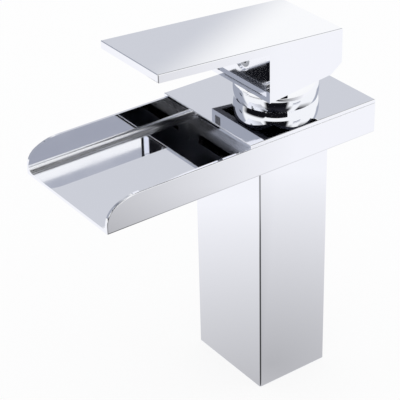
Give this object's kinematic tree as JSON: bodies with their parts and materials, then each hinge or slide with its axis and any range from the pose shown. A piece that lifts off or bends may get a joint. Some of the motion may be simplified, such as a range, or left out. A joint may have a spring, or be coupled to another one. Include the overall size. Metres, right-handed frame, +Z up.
{
  "type": "waterfall basin mixer faucet",
  "caption": "Single-lever basin mixer with a square-section column, an open flat waterfall spout, a domed valve bonnet and a flat blade lever that lifts for flow and swivels for temperature.",
  "frame": {"origin": "centre of the column's foot, on the basin's deck", "axes": "+Z up the column; the spout and the lever point to -Y; +X is the user's right"},
  "size_m": [0.066, 0.147, 0.1839],
  "materials": {
    "chrome": "polished chrome plate on brass",
    "brass": "machined brass",
    "riser_brass": "drawn brass tube",
    "steel": "stainless steel",
    "cartridge_plastic": "moulded white plastic",
    "carrier_plastic": "moulded grey plastic",
    "ceramic": "lapped alumina ceramic",
    "rubber": "black moulded rubber"
  },
  "bodies": {
    "fixed_body": {"column_shell": "chrome", "spout_tray": "chrome", "weir_wall": "chrome", "deck_plate": "chrome", "dome_bonnet": "chrome", "base_plate": "brass", "column_cap": "brass", "valve_body": "brass", "cartridge_nut": "brass", "hot_riser": "riser_brass", "cold_riser": "riser_brass", "tray_screws": "steel", "cartridge_base": "cartridge_plastic", "cartridge_housing": "cartridge_plastic", "fixed_disc": "ceramic", "base_gasket": "rubber", "riser_seals": "rubber", "valve_gasket": "rubber", "port_seals": "rubber", "dome_seal": "rubber"},
    "swivel": {"stem_carrier": "carrier_plastic", "stem_pin": "steel"},
    "lever": {"lever_handle": "chrome", "stem": "steel", "grub_screw": "steel"},
    "ceramic_slide": {"disc_carrier": "carrier_plastic", "moving_disc": "ceramic"}
  },
  "joints": [
    {"name": "temperature_swivel", "type": "hinge", "parent": "fixed_body", "child": "swivel", "pos_m": [0, 0.009, 0.1475], "axis": [0, 0, 1], "range_deg": [-45, 45]},
    {"name": "lever_lift", "type": "hinge", "parent": "swivel", "child": "lever", "pos_m": [0, 0.009, 0.1475], "axis": [-1, 0, 0], "range_deg": [0, 25]},
    {"name": "disc_slide", "type": "slide", "parent": "swivel", "child": "ceramic_slide", "axis": [0, -1, 0], "range_m": [0, 0.0029]}
  ],
  "couplings": [
    {"joint": "disc_slide", "follows": "lever_lift", "m_per_rad": 0.0065}
  ]
}
